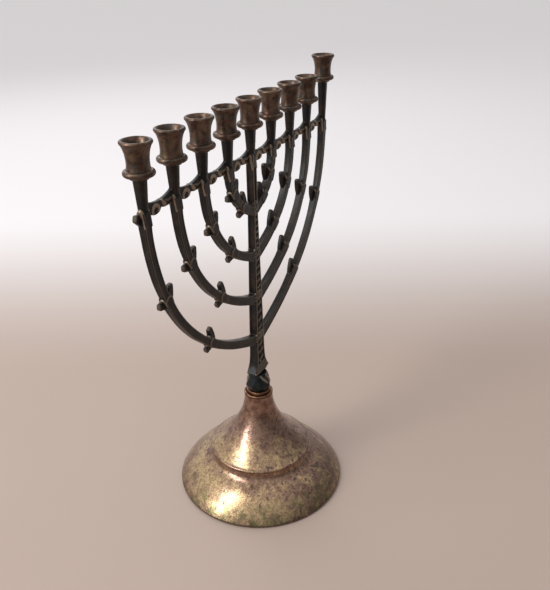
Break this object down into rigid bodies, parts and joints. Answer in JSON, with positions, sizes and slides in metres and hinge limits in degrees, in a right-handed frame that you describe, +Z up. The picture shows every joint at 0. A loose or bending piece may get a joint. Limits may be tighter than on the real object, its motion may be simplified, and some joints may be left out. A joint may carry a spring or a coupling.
{
  "type": "tabletop candelabra",
  "caption": "Tabletop candelabra: a flat cast tree of curved branches with flared bracts, joined by a leafy crossbar, carries a row of turned candle cups on a spun two-tier trumpet base.",
  "frame": {"origin": "centre of the base on the table", "axes": "+Z up, +X along the row of cups towards the raised end cup, -Y is the front"},
  "size_m": [0.2082, 0.11, 0.264],
  "materials": {
    "base_brass": "spun brass, mottled gold with dark brown spots and a little verdigris at the rim",
    "collar_brass": "turned brass with a brown tarnish",
    "knop_patina": "cast brass with a blue-green black patina",
    "tree_patina": "cast brass with a dark green-black patina, worn brown on raised edges",
    "cup_brass": "turned brass with a mottled brown tarnish",
    "screw_brass": "plain brass screw",
    "steel_hardware": "plain steel, slightly dull"
  },
  "bodies": {
    "root": {"base_shell": "base_brass", "neck_collar": "collar_brass", "knop": "knop_patina", "tree_casting": "tree_patina", "tie_stud": "steel_hardware", "stud_washer": "steel_hardware", "spring_washer": "steel_hardware", "stud_nut": "steel_hardware", "cup_screws": "screw_brass", "candle_cup_1": "cup_brass", "candle_cup_2": "cup_brass", "candle_cup_3": "cup_brass", "candle_cup_4": "cup_brass", "candle_cup_5": "cup_brass", "candle_cup_6": "cup_brass", "candle_cup_7": "cup_brass", "candle_cup_8": "cup_brass", "candle_cup_9": "cup_brass"}
  },
  "joints": []
}
